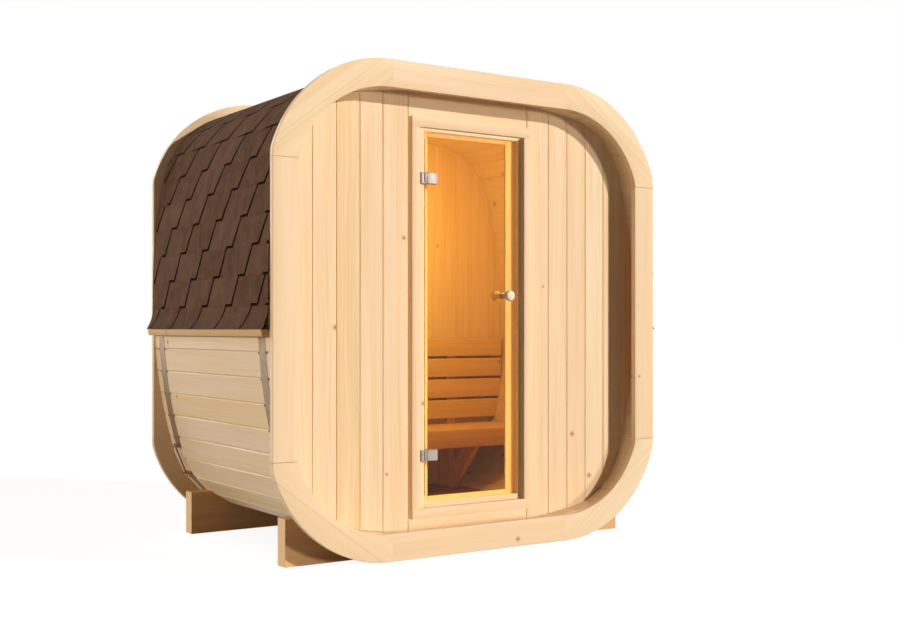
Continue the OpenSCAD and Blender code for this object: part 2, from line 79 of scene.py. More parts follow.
def eased(corners, r, steps=3):
    """Outline with eased corners: each corner becomes a parabola that starts r before it,
    ends r after it and has the corner as its control point."""
    c = np.asarray(corners, float)
    back = np.roll(c, 1, axis=-2) - c
    ahead = np.roll(c, -1, axis=-2) - c
    back /= np.linalg.norm(back, axis=-1, keepdims=True)
    ahead /= np.linalg.norm(ahead, axis=-1, keepdims=True)
    s = np.linspace(0, 1, steps + 1)[:, None]
    a, b, c = (c + back * r)[..., None, :], (c + ahead * r)[..., None, :], c[..., None, :]
    curve = (1 - s) ** 2 * a + 2 * s * (1 - s) * c + s ** 2 * b
    return curve.reshape(*c.shape[:-3], -1, 2)


def loft(name, boards, finish, tones=0.5, body="cabin", sharp=35):
    """One mesh of closed pieces. A piece is (rings, along, across): rings holds outlines of
    points, each outline joined to the next by quads and the first and last one closed by a
    face; along and across are the metres with and across the grain at each point. tones is
    one tone for all pieces or one for each, and edges over the angle sharp stay sharp."""
    points, faces, lay, first = [], [], [], 0
    tones = np.broadcast_to(tones, len(boards))
    tone = []
    for number, (rings, along, across) in enumerate(boards):
        m, n = rings.shape[:2]
        index = first + np.arange(m * n).reshape(m, n)
        a, b = index[:-1], index[1:]
        quads = np.stack([a, np.roll(a, -1, 1), np.roll(b, -1, 1), b], -1)
        faces += quads.reshape(-1, 4).tolist()
        faces += [index[0, ::-1].tolist(), index[-1].tolist()]
        points.append(rings.reshape(-1, 3))
        lay.append(np.stack([along + 0 * across, across + 0 * along,
                             np.full((m, n), number + 0.5)], -1).reshape(-1, 3))
        tone.append(np.full(m * n, tones[number]))
        first += m * n
    mesh = bpy.data.meshes.new(name)
    mesh.from_pydata(np.concatenate(points).tolist(), [], faces)
    shell = bmesh.new()
    shell.from_mesh(mesh)
    bmesh.ops.recalc_face_normals(shell, faces=shell.faces)
    shell.to_mesh(mesh)
    shell.free()
    mesh.attributes.new("lay", "FLOAT_VECTOR", "POINT").data.foreach_set(
        "vector", np.concatenate(lay).ravel())
    mesh.attributes.new("tone", "FLOAT", "POINT").data.foreach_set(
        "value", np.concatenate(tone))
    mesh.polygons.foreach_set("use_smooth", np.ones(len(mesh.polygons), bool))
    mesh.set_sharp_from_angle(angle=math.radians(sharp))
    mesh.materials.append(finish)
    piece = bpy.data.objects.new(name, mesh)
    bpy.context.scene.collection.objects.link(piece)
    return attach(piece, body)


def put(tree, kind, sockets=(), **settings):
    """Adds a node with its settings; sockets gives values or other nodes' outputs by
    socket name or number."""
    made = tree.nodes.new(kind)
    for key, value in settings.items():
        setattr(made, key, value)
    for key, value in dict(sockets).items():
        if isinstance(value, bpy.types.NodeSocket):
            tree.links.new(value, made.inputs[key])
        else:
            made.inputs[key].default_value = value
    return made


def new_finish(name, roughness):
    """Empty material with its shader; returns the material, its tree and the shader."""
    finish = bpy.data.materials.new(name)
    finish.use_nodes = True
    shader = finish.node_tree.nodes["Principled BSDF"]
    shader.inputs["Roughness"].default_value = roughness
    return finish, finish.node_tree, shader


def maths(tree, operation, a, b=0.0):
    """One sum on two numbers or outputs."""
    return put(tree, "ShaderNodeMath", {0: a, 1: b}, operation=operation).outputs[0]


def ramp(tree, value, low, high, to_low=0.0, to_high=1.0):
    """Value moved smoothly from low..high to to_low..to_high."""
    return put(tree, "ShaderNodeMapRange", {"Value": value, "From Min": low, "From Max": high,
               "To Min": to_low, "To Max": to_high}, interpolation_type="SMOOTHSTEP").outputs[0]


def blended(tree, amount, a, b):
    """Colour a moved towards colour b by the amount."""
    return put(tree, "ShaderNodeMix", {0: amount, 6: a, 7: b}, data_type="RGBA").outputs[2]


def softwood(name, pale, deep, knotty=0.3, glued=0.0, axes=None, rough=0.5, dirt=0.12,
             end_axis=None):
    """Planed spruce. Colour runs from pale to deep with the board's tone and with broad
    streaks along the grain; fine growth lines darken it, each board leans a little to pink
    or yellow, and some cells of a quarter metre hold a knot of 6 to 12 mm with a rim.
    glued is the width of boards glued edge to edge, with a dark line at each joint that
    fades over 1.2 mm to each side; axes are the object axes along and across the grain
    where a piece has no lay, and end_axis is the axis whose faces show growth rings and
    are painted paler than the sides, as painted light on the ends."""
    finish, tree, shader = new_finish(name, rough)
    if axes:
        spot = put(tree, "ShaderNodeTexCoord").outputs["Object"]
        parts = put(tree, "ShaderNodeSeparateXYZ", {0: spot}).outputs
        along = parts["XYZ".index(axes[0])]
        across = maths(tree, "ADD", parts["XYZ".index(axes[1])], parts["XYZ".index(axes[2])])
        number, tone = 0.5, 0.4
    else:
        lay = put(tree, "ShaderNodeAttribute", attribute_name="lay").outputs["Vector"]
        parts = put(tree, "ShaderNodeSeparateXYZ", {0: lay}).outputs
        along, across, number = parts[0], parts[1], parts[2]
        tone = put(tree, "ShaderNodeAttribute", attribute_name="tone").outputs["Fac"]
    seam = None
    if glued:
        strip = maths(tree, "DIVIDE", across, glued)
        number = maths(tree, "ADD", number, maths(tree, "MULTIPLY",
                       maths(tree, "FLOOR", strip), 3.7))
        edge = maths(tree, "ABSOLUTE", maths(tree, "SUBTRACT",
                     maths(tree, "FRACT", strip), 0.5))
        seam = ramp(tree, edge, 0.5 - 0.0012 / glued, 0.5)
    shift = maths(tree, "MULTIPLY", number, 3.71)
    across_far = maths(tree, "ADD", across, maths(tree, "MULTIPLY", number, 1.37))
    spot = put(tree, "ShaderNodeCombineXYZ", {0: maths(tree, "ADD", along, shift),
               1: across_far, 2: number}).outputs[0]
    wander = put(tree, "ShaderNodeTexNoise", {"Vector": put(tree, "ShaderNodeVectorMath", {
        0: spot, 1: (1.6, 5.0, 1.0)}, operation="MULTIPLY").outputs[0], "Scale": 1.0,
        "Detail": 1.0}).outputs["Fac"]
    bent = put(tree, "ShaderNodeCombineXYZ", {0: maths(tree, "ADD", along, shift),
               1: maths(tree, "ADD", across_far, maths(tree, "MULTIPLY", wander, 0.05)),
               2: number}).outputs[0]
    streak = put(tree, "ShaderNodeTexNoise", {"Vector": put(tree, "ShaderNodeVectorMath", {
        0: bent, 1: (0.8, 26.0, 1.0)}, operation="MULTIPLY").outputs[0], "Scale": 1.0,
        "Detail": 2.0}).outputs["Fac"]
    lines = put(tree, "ShaderNodeTexNoise", {"Vector": put(tree, "ShaderNodeVectorMath", {
        0: bent, 1: (2.0, 170.0, 1.0)}, operation="MULTIPLY").outputs[0], "Scale": 1.0,
        "Detail": 2.0}).outputs["Fac"]
    luck = put(tree, "ShaderNodeTexWhiteNoise", {"W": number}, noise_dimensions="1D").outputs[1]
    lean = put(tree, "ShaderNodeSeparateColor", {0: luck}).outputs
    cells = put(tree, "ShaderNodeTexVoronoi", {"Vector": spot, "Scale": 4.0, "Randomness": 0.9},
                voronoi_dimensions="2D")
    chosen = maths(tree, "LESS_THAN",
                   put(tree, "ShaderNodeSeparateColor", {0: cells.outputs["Color"]}).outputs[0],
                   knotty)
    size = put(tree, "ShaderNodeSeparateColor", {0: cells.outputs["Color"]}).outputs[1]
    reach = maths(tree, "DIVIDE", cells.outputs["Distance"], ramp(tree, size, 0, 1, 0.6, 1.3))
    heart = maths(tree, "MULTIPLY", ramp(tree, reach, 0.026, 0.012), chosen)
    rim = maths(tree, "MULTIPLY", ramp(tree, reach, 0.07, 0.02), chosen)
    mix = maths(tree, "ADD", maths(tree, "MULTIPLY", tone, 0.7),
                ramp(tree, streak, 0.32, 0.68, -0.28, 0.42))
    colour = blended(tree, mix, (*pale, 1), (*deep, 1))
    pink = (pale[0], pale[1] * 0.90, pale[2] * 0.86, 1)
    colour = blended(tree, ramp(tree, lean[0], 0.2, 1, 0, 0.55), colour, pink)
    colour = blended(tree, ramp(tree, lines, 0.45, 0.75, 0, dirt * 1.6), colour,
                     (deep[0] * 0.62, deep[1] * 0.5, deep[2] * 0.36, 1))
    colour = blended(tree, maths(tree, "MULTIPLY", rim, 0.5), colour,
                     (deep[0] * 0.62, deep[1] * 0.42, deep[2] * 0.26, 1))
    colour = blended(tree, maths(tree, "MULTIPLY", heart, 0.85), colour, (0.30, 0.14, 0.06, 1))
    if seam:
        colour = blended(tree, maths(tree, "MULTIPLY", seam, 0.55), colour,
                         (deep[0] * 0.45, deep[1] * 0.33, deep[2] * 0.22, 1))
    if end_axis:
        face = put(tree, "ShaderNodeSeparateXYZ", {
            0: put(tree, "ShaderNodeNewGeometry").outputs["Normal"]}).outputs
        cut = ramp(tree, maths(tree, "ABSOLUTE", face["XYZ".index(end_axis)]), 0.8, 0.95)
        stretch = [1.0, 1.0, 1.0]
        stretch["XYZ".index(end_axis)] = 0.0
        place = put(tree, "ShaderNodeVectorMath", {0: put(tree, "ShaderNodeTexCoord").outputs[
            "Object"], 1: tuple(stretch)}, operation="MULTIPLY").outputs[0]
        years = put(tree, "ShaderNodeTexWave", {"Vector": place, "Scale": 60.0,
                    "Distortion": 6.0, "Detail": 2.0, "Detail Scale": 0.4},
                    wave_type="RINGS", rings_direction="SPHERICAL").outputs["Fac"]
        # painted light: the end faces take a paler, greyer copy of the colours, standing in for
        # light falling on the ends
        end = blended(tree, ramp(tree, years, 0.2, 0.9, 0.1, 0.8),
                      (pale[0] * 1.12, pale[1] * 1.26, pale[2] * 1.45, 1),
                      (deep[0] * 1.1, deep[1] * 1.2, deep[2] * 1.4, 1))
        colour = blended(tree, cut, colour, end)
    tree.links.new(colour, shader.inputs["Base Color"])
    tree.links.new(ramp(tree, streak, 0.2, 0.8, rough - 0.08, rough + 0.1),
                   shader.inputs["Roughness"])
    height = maths(tree, "ADD", maths(tree, "MULTIPLY", lines, 0.7),
                   maths(tree, "MULTIPLY", streak, 0.3))
    tree.links.new(put(tree, "ShaderNodeBump", {"Strength": 0.35, "Distance": 0.0006,
                   "Height": height}).outputs[0], shader.inputs["Normal"])
    shader.inputs["Specular IOR Level"].default_value = 0.18
    return finish


spruce = (0.86, 0.665, 0.435)
spruce_deep = (0.80, 0.545, 0.27)
ring_deep = (0.81, 0.575, 0.315)
ring_wood = softwood("ring_wood", spruce, ring_deep, knotty=0.16, dirt=0.08)
corner_wood = softwood("corner_wood", spruce, ring_deep, knotty=0.05, glued=glued_board,
                       dirt=0.06)


def ring_board(outer, inner, y0, grain):
    """Board of a ring: its 28 mm section with 2.5 mm eased edges, carried along two edge
    curves (m points of x and z each); grain is the direction of the wood fibres in x, z."""
    section = eased([(0, 0), (ring_face, 0), (ring_face, board_t), (0, board_t)], ring_ease)
    w = section[:, 0] / ring_face
    x = outer[:, :1] * (1 - w) + inner[:, :1] * w
    z = outer[:, 1:] * (1 - w) + inner[:, 1:] * w
    y = np.broadcast_to(y0 + section[:, 1], x.shape)
    along = x * grain[0] + z * grain[1]
    across = x * grain[1] - z * grain[0]
    if abs(grain[0] * grain[1]) < 0.01:
        across = across + y
    return np.stack([x, y, z + mid_high], -1), along, across


def corner_curve(r, cut, sx, sz):
    """Edge of a corner piece: from the stile joint up, an arc of radius r about the ring's
    arc centre, cut flat where it would pass the side edge, then straight to the rail joint."""
    start = math.asin((stile_end - arc_z) / r)
    a = np.linspace(start, math.pi / 2, 40)
    reach = np.minimum(r, cut / np.maximum(np.cos(a), 1e-6))
    x = np.append(arc_x + reach * np.cos(a), rail_end + tight)
    z = np.append(arc_z + reach * np.sin(a), arc_z + r)
    return np.stack([sx * x, sz * z], -1)


def straight(x0, z0, x1, z1):
    """Straight edge of a board, from one end to the other."""
    return np.array([(x0, z0), (x1, z1)])


inner_top = mid_high - ring_face
inner_side = half_wide - ring_face
for end, y0 in (("front", ring_lo.y), ("rear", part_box("rear_ring_rails")[0].y)):
    rails = [ring_board(straight(-rail_end, s * mid_high, rail_end, s * mid_high),
                        straight(-rail_end, s * inner_top, rail_end, s * inner_top), y0, (1, 0))
             for s in (1, -1)]
    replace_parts(loft(end + "_rails", rails, ring_wood, (0.35, 0.3)), end + "_ring_rails")
    stiles = [ring_board(straight(s * half_wide, -stile_end, s * half_wide, stile_end),
                         straight(s * inner_side, -stile_end, s * inner_side, stile_end),
                         y0, (0, 1)) for s in (-1, 1)]
    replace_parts(loft(end + "_stiles", stiles, ring_wood, (0.12, 0.3)), end + "_ring_stiles")
    corners = [ring_board(corner_curve(arc_r, arc_in, sx, sz),
                          corner_curve(arc_r - ring_face, arc_in - ring_face, sx, sz), y0,
                          (-sx * sz * glue_lean[0], glue_lean[1]))
               for sx in (-1, 1) for sz in (-1, 1)]
    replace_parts(loft(end + "_corners", corners, corner_wood, (0.3, 0.75, 0.25, 0.3)),
                end + "_ring_corners")

# Stave shell: 28 mm spruce boards with a cover width of 106.8 mm, laid edge to edge round
# the section and nailed into the end walls. Each outer edge has a small chamfer, so every
# joint shows as a fine dark line over a light one.
side_in, top_in = 0.003, 0.056
stave_w, narrowest = 0.1068, 0.020
stave_gap = 0.0003
bevel, bevel_deep, back_bevel = 0.0048, 0.0042, 0.0015
side_r = 2.305
top_r = 3.529
turn_r = 0.384
shell_x = half_wide - side_in
shell_z = mid_high - top_in
side_cx = shell_x - side_r
top_cz = shell_z - top_r
apart = math.hypot(side_cx, top_cz)
reach_side = side_r - turn_r
reach_top = top_r - turn_r
foot_of = (reach_side ** 2 - reach_top ** 2 + apart ** 2) / (2 * apart)
away = math.sqrt(reach_side ** 2 - foot_of ** 2)
turn_cx = side_cx - side_cx / apart * foot_of - top_cz / apart * away
turn_cz = top_cz / apart * foot_of - side_cx / apart * away
a_side = math.atan2(turn_cz, turn_cx - side_cx)
a_top = math.atan2(turn_cz - top_cz, turn_cx)
len_side = side_r * a_side
len_turn = turn_r * (a_top - a_side)
quarter = len_side + len_turn + top_r * (math.pi / 2 - a_top)
half = 2 * quarter
last = int((half - stave_w / 2 - narrowest) // stave_w) + 1


def shell_at(t, d):
    """Section point (x, z from mid height) at length t from the bottom middle, up the left
    side to the top middle, d outside the face: an arc of 2.305 m at the side, one of 0.384 m
    at the corner and one of 3.529 m at the top, each tangent to the next. A t below zero or
    past the top middle goes on along the right side."""
    t, d = np.broadcast_arrays(np.asarray(t, float), d)
    flip = np.where((t < 0) | (t > half), 1.0, -1.0)
    t = np.where(t < 0, -t, np.where(t > half, 2 * half - t, t))
    f = np.abs(t - quarter)
    a1 = f / side_r
    a2 = a_side + (f - len_side) / turn_r
    a3 = a_top + (f - len_side - len_turn) / top_r
    x = np.select([f < len_side, f < len_side + len_turn],
                  [side_cx + (side_r + d) * np.cos(a1), turn_cx + (turn_r + d) * np.cos(a2)],
                  (top_r + d) * np.cos(a3))
    z = np.select([f < len_side, f < len_side + len_turn],
                  [(side_r + d) * np.sin(a1), turn_cz + (turn_r + d) * np.sin(a2)],
                  top_cz + (top_r + d) * np.sin(a3))
    return flip * x, np.where(t < quarter, -z, z)


def joint(i):
    """Length from the bottom middle to the joint below stave i; the last one ends the top."""
    return np.where(np.asarray(i) > last, half, (np.asarray(i, float) - 0.5) * stave_w)


def facet(t0, t1, share, d):
    """Point at a share of the flat face between lengths t0 and t1, d outside it."""
    x0, z0 = shell_at(t0, d)
    x1, z1 = shell_at(t1, d)
    return x0 + (x1 - x0) * share, z0 + (z1 - z0) * share


stave_wood = softwood("stave_wood", (0.80, 0.635, 0.435), (0.80, 0.56, 0.27), knotty=0.16)
stave_y = (ring_lo.y + board_t, -ring_lo.y - board_t)
stave_tone = np.random.default_rng(7).uniform(0.0, 0.35, (2, last + 1))
# two darker boards on the left side
stave_tone[0, 12] = 1.15
stave_tone[0, 8] = 0.7


def stave(i, side):
    """Stave i: corners at its two joints, 28 mm deep, with chamfers of 4.8 by 4.2 mm outside
    and 1.5 mm inside, carried along Y between a ring at each end."""
    t0 = -joint(1) if i == 0 else joint(i)
    t1 = joint(i + 1)
    w = float(t1 - t0)
    g, b = stave_gap, stave_gap + back_bevel
    out = [(g, back_bevel - board_t), (b, -board_t), (w - b, -board_t),
           (w - g, back_bevel - board_t), (w - g, -bevel_deep), (w - bevel, 0.0),
           (w * 0.5, 0.0), (bevel, 0.0), (g, -bevel_deep)]
    a, d = np.array(out).T
    x, z = facet(t0, t1, a / w, d)
    y = np.array(stave_y)[:, None]
    x, y, z = np.broadcast_arrays(side * x, y, z + mid_high)
    return np.stack([x, y, z], -1), y, a + d + 0 * y


# the construction ends its groups of staves at these shares of their number
groups = [int(share * last) for share in (0.14, 0.39, 0.61, 0.86)]
for side, name in ((1, "left"), (-1, "right")):
    row = 0 if side == 1 else 1
    for part, i0, i1 in (("_low", groups[0], groups[1]), ("", groups[1], groups[2]),
                         ("_high", groups[2], groups[3])):
        which = list(range(i0 + 1, i1 + 1))
        piece = loft(name + part + "_staves", [stave(i, side) for i in which], stave_wood,
                     stave_tone[row, which], sharp=20)
        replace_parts(piece, "shell_" + name + part + "_staves")
bottom = [(i, 1) for i in range(groups[0] + 1)] + [(i, -1) for i in range(1, groups[0] + 1)]
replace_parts(loft("bottom_staves", [stave(*s) for s in bottom], stave_wood, 0.3, sharp=20),
            "shell_floor_staves")
over = [(i, s) for s in (1, -1) for i in range(groups[3] + 1, last + 1)]
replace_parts(loft("top_staves", [stave(*s) for s in over], stave_wood, 0.3, sharp=20),
            "shell_top_staves")

# End walls: upright tongue and groove boards, 28 mm thick and 112 mm in cover, scribed to
# the inside of the shell. Below and above the door the boards lie flat.
wall_wood = softwood("wall_wood", spruce, spruce_deep, knotty=0.13)
board_cover, sliver = 0.112, 0.02
ts = np.concatenate([joint(np.arange(1, last + 2)), 2 * half - joint(np.arange(last, 0, -1))])
inside_x, inside_z = shell_at(ts, -board_t - stave_gap)
order = np.roll(np.arange(len(ts)), -int(np.argmin(inside_x)))
ring_x, ring_z = inside_x[order], inside_z[order] + mid_high
far = int(np.argmax(ring_x))
upper_edge = (ring_x[:far + 1], ring_z[:far + 1])
lower_edge = (np.append(ring_x[far:], ring_x[0])[::-1], np.append(ring_z[far:], ring_z[0])[::-1])


def wall_board(x0, x1, y0, y1, z0=None, z1=None):
    """Upright board from x0 to x1: faces with 2.6 mm chamfers at both edges, carried from
    the shell's lower edge to its upper one at every x, or between z0 and z1."""
    g, c = 0.0004, 0.0026
    knots = ring_x[(ring_x > x0 + g + c + 0.001) & (ring_x < x1 - g - c - 0.001)]
    mid = np.unique(np.round(knots, 6))
    fore = np.concatenate([[x0 + g, x0 + g + c], mid, [x1 - g - c, x1 - g]])
    deep = np.zeros(len(fore))
    deep[[0, -1]] = c
    x = np.concatenate([fore, fore[::-1]])
    y = np.concatenate([y0 + deep, y1 - deep])
    low = np.interp(x, *lower_edge) if z0 is None else np.full(len(x), z0)
    high = np.interp(x, *upper_edge) if z1 is None else np.full(len(x), z1)
    z = np.stack([low, high])
    rings = np.stack([np.broadcast_to(x, z.shape), np.broadcast_to(y, z.shape), z], -1)
    return rings, z, np.broadcast_to(x + y, z.shape)


door_lo, door_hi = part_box("door_jamb_left")
frame_x = -door_lo.x
wall_lo, wall_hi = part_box("front_wall_left")
edges = np.arange(-8, 9) * board_cover


def upright_row(x_from, x_to, y0, y1):
    """Boards with their edges at multiples of 112 mm, cut at x_from and x_to; an edge near
    a cut is left out, so no board is narrower than 20 mm."""
    inner = edges[(edges > x_from + sliver) & (edges < x_to - sliver)]
    cuts = np.concatenate([[x_from], inner, [x_to]])
    return [wall_board(a, b, y0, y1) for a, b in zip(cuts[:-1], cuts[1:])]


y0, y1 = wall_lo.y, wall_hi.y
gap = 0.0003
left_row = upright_row(ring_x.min(), -frame_x - gap, y0, y1)
right_row = upright_row(frame_x + gap, ring_x.max(), y0, y1)
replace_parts(loft("wall_boards_left", left_row, wall_wood,
                 (0.2, 0.25, 0.15, 0.7, 0.12, 0.3), sharp=20), "front_wall_left")
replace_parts(loft("wall_boards_right", right_row, wall_wood,
                 (0.2, 0.1, 0.45, 0.15, 0.5, 0.3), sharp=20),
            "front_wall_right")
head_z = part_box("front_wall_header")
sill_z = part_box("front_wall_sill_board")
over_door = wall_board(-frame_x, frame_x, y0, y1, z0=head_z[0].z)
under_door = wall_board(-frame_x, frame_x, y0, y1, z1=sill_z[1].z)
for board, node_name, title in ((over_door, "front_wall_header", "wall_board_over_door"),
                                (under_door, "front_wall_sill_board", "wall_board_under_door")):
    rings = board[0]
    level = (rings, rings[..., 0], rings[..., 2] + rings[..., 1])
    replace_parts(loft(title, [level], wall_wood, (0.3,), sharp=20), node_name)
rear_lo, rear_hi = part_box("rear_wall")
rear_row = upright_row(ring_x.min(), ring_x.max(), rear_lo.y, rear_hi.y)
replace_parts(loft("rear_wall_boards", rear_row, wall_wood,
                 np.random.default_rng(3).uniform(0.0, 1.1, len(rear_row)), sharp=20), "rear_wall")

# Door frame: planed spruce, screwed into the opening. Each side is one stepped board with
# an outer lip, a step where the glass hangs and a stop; the head and sill are built up the
# same way between the sides. Three of the four cast no shadow, so the stops stay light.
frame_wood = softwood("frame_wood", spruce, spruce_deep, knotty=0.1)
lip_face, hinge_step, latch_step, sill_step = 0.040, 0.037, 0.014, 0.024
frame_ease, play = 0.0012, 0.0003
lip = frame_x - lip_face
step_left, step_right = -lip + hinge_step, lip - latch_step
stop = -door_hi.x
rebate = 0.026
fy, fy1 = door_lo.y, door_hi.y
lip_z0, lip_z1 = door_lo.z, door_hi.z


def stepped_side(x0, x1, x2, x3):
    """Side board: its stepped section with 1.2 mm eased edges, carried up along Z."""
    section = eased([(x0, fy), (x1, fy), (x1, fy + rebate), (x2, fy + rebate),
                     (x2, fy + 2 * rebate), (x3, fy + 2 * rebate), (x3, fy1), (x0, fy1)],
                    frame_ease, 2)
    z = np.broadcast_to(np.array([[lip_z0 + tight], [lip_z1 - tight]]), (2, len(section)))
    rings = np.stack([np.broadcast_to(section[:, 0], z.shape),
                      np.broadcast_to(section[:, 1], z.shape), z], -1)
    return rings, z, np.broadcast_to(section.sum(1), z.shape)


def plank(x0, x1, y0, y1, z0, z1, grain="X", r=0.0015):
    """Straight board: a rectangle with eased edges carried along its grain axis, drawn in
    by r over the last r of each end."""
    g = "XYZ".index(grain)
    p, q = [i for i in range(3) if i != g]
    lo, hi = np.array([x0, y0, z0]), np.array([x1, y1, z1])
    e = np.array([r, 0, 0, r])
    corners = np.stack([np.stack([lo[p] + e, lo[q] + e], -1), np.stack([hi[p] - e, lo[q] + e], -1),
                        np.stack([hi[p] - e, hi[q] - e], -1),
                        np.stack([lo[p] + e, hi[q] - e], -1)], 1)
    section = eased(corners, r, 2)
    rings = np.empty(section.shape[:2] + (3,))
    rings[..., p], rings[..., q] = section[..., 0], section[..., 1]
    rings[..., g] = np.array([lo[g], lo[g] + r, hi[g] - r, hi[g]])[:, None]
    return rings, rings[..., g], section.sum(-1)


frame_left = loft("frame_side_left", [stepped_side(-frame_x, -lip, step_left, -stop)],
                  frame_wood, 0.25)
frame_left.visible_shadow = False
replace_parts(frame_left, "door_jamb_left")
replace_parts(loft("frame_side_right", [stepped_side(frame_x, lip, step_right, stop)],
                 frame_wood, 0.2), "door_jamb_right")
head_lo, head_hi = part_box("door_head")
sill_lo, sill_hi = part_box("door_sill")
head_step, sill_top = lip_z1 - latch_step, lip_z0 + sill_step
head = [plank(-frame_x, frame_x, fy, fy1, lip_z1, head_hi.z),
        plank(step_left + play, step_right - play, fy + rebate, fy1, head_step, lip_z1 - play),
        plank(-stop + play, stop - play, fy + 2 * rebate, fy1, head_lo.z, head_step - play)]
sill = [plank(-frame_x, frame_x, fy, fy1, sill_lo.z, lip_z0),
        plank(step_left + play, step_right - play, fy + rebate, fy1, lip_z0 + play, sill_top),
        plank(-stop + play, stop - play, fy + 2 * rebate, fy1, sill_top + play, sill_hi.z)]
frame_head = loft("frame_head", head, frame_wood, (0.3, 0.25, 0.5))
frame_sill = loft("frame_sill", sill, frame_wood, (0.2, 0.15, 0.4))
frame_head.visible_shadow = frame_sill.visible_shadow = False
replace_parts(frame_head, "door_head")
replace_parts(frame_sill, "door_sill")

# Floor: level spruce boards on three sawn bearers, with a few millimetres between boards
# for water to run off. The bearers are hidden under the boards.
# painted shade: the boards' near-black red-brown stands in for the dim floor inside the cabin
floor_wood = softwood("floor_wood", (0.34, 0.10, 0.02), (0.26, 0.06, 0.01), knotty=0.3)
bearer_wood = softwood("bearer_wood", (0.60, 0.44, 0.27), (0.5, 0.34, 0.18), axes="XZY",
                       rough=0.7)
left_x, left_z = shell_at(joint(np.arange(1, last + 1)), -board_t - stave_gap)
side_z, side_reach = left_z + mid_high, -left_x - stave_gap


def level_board(z0, z1, y0, y1, r, limit=math.inf):
    """Level board: its section with edges eased by r, carried along X; both ends follow the
    inside of the shell at each height and stay within the limit."""
    y, z = eased([(y0, z0), (y1, z0), (y1, z1), (y0, z1)], r, 2).T
    reach = np.minimum(np.interp(z, side_z, side_reach), limit)
    x = np.stack([-reach, reach])
    rings = np.stack([x, np.broadcast_to(y, x.shape), np.broadcast_to(z, x.shape)], -1)
    return rings, x, np.broadcast_to(z + y, x.shape)


floor_lo, floor_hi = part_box("floor_boards")
floor_count, floor_gap = 11, 0.004
starts = np.linspace(floor_lo.y, floor_hi.y + floor_gap, floor_count + 1)
laid = [level_board(floor_lo.z, floor_hi.z, a, b - floor_gap, r=0.002)
        for a, b in zip(starts[:-1], starts[1:])]
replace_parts(loft("floor_boards_laid", laid, floor_wood,
                 np.random.default_rng(5).uniform(0.1, 0.9, floor_count)), "floor_boards")


def coat(node_name, finish):
    """A construction piece that keeps its own shape takes this finish."""
    cad[node_name].data.materials.clear()
    cad[node_name].data.materials.append(finish)


coat("floor_bearers", bearer_wood)

# Bench: four seat boards behind a tall front board, on two cut supports with an upright and
# a slanted brace; the backrest is four slats screwed to three upright posts.
bench_wood = softwood("bench_wood", (0.80, 0.55, 0.22), (0.74, 0.44, 0.12), knotty=0.12)
support_wood = softwood("support_wood", (0.78, 0.50, 0.20), (0.7, 0.40, 0.11), axes="ZYX")
seat_lo, seat_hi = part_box("bench_seat")
apron_lo, apron_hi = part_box("bench_apron")
seat_count, seat_gap, bench_ease = 4, 0.012, 0.005
slat_count, slat_w, slat_pitch, post_half = 4, 0.1, 0.1125, 0.03
board_w = (seat_hi.y - seat_lo.y - (seat_count - 1) * seat_gap) / seat_count
fronts = seat_lo.y + np.arange(seat_count) * (board_w + seat_gap)
seat = [level_board(seat_lo.z, seat_hi.z, y, y + board_w, r=bench_ease) for y in fronts]
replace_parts(loft("seat_boards", seat, bench_wood, (0.2, 0.5, 0.3, 0.6)), "bench_seat")
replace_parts(loft("seat_front_board", [level_board(apron_lo.z, apron_hi.z, apron_lo.y,
            apron_hi.y - play, r=bench_ease)], bench_wood, 0.4), "bench_apron")
slat_lo, slat_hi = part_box("backrest_slats")
slats = [level_board(top - slat_w, top, slat_lo.y, slat_hi.y, r=bench_ease, limit=slat_hi.x)
         for top in slat_hi.z - np.arange(slat_count) * slat_pitch]
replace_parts(loft("backrest_boards", slats, bench_wood, (0.2, 0.5, 0.35, 0.55)),
            "backrest_slats")
post_lo, post_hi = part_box("backrest_posts")
posts = [plank(x - post_half, x + post_half, post_lo.y, post_hi.y, post_lo.z, post_hi.z, "Z",
               0.003) for x in (post_lo.x + post_half, 0.0, post_hi.x - post_half)]
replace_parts(loft("backrest_uprights", posts, bench_wood, 0.4), "backrest_posts")
coat("bench_legs", support_wood)

# Feet: two squared spruce timbers on edge, sawn out to the curve of the shell and notched
# for the straps. The cabin lies in them by its own weight.
# painted shade and light: the long faces are a darker, redder brown for the shade under the cabin,
# and the end faces are paler for the light on them
foot_wood = softwood("foot_wood", (0.78, 0.49, 0.25), (0.66, 0.35, 0.12), knotty=0.2,
                     axes="XZY", rough=0.62, end_axis="X")
coat("front_foot", foot_wood)
coat("rear_foot", foot_wood)

# Straps: galvanised steel bands, 60 mm wide, drawn tight round the shell by a threaded rod
# through their folded ends on the left side. Nuts with washers sit outside both folds, and
# a small nail stands beside the band at every stave joint.
def own_noise(tree, scale, detail=2.0):
    """Noise laid in the object's own coordinates."""
    return put(tree, "ShaderNodeTexNoise", {"Vector": put(tree, "ShaderNodeTexCoord").outputs[
        "Object"], "Scale": scale, "Detail": detail}).outputs["Fac"]


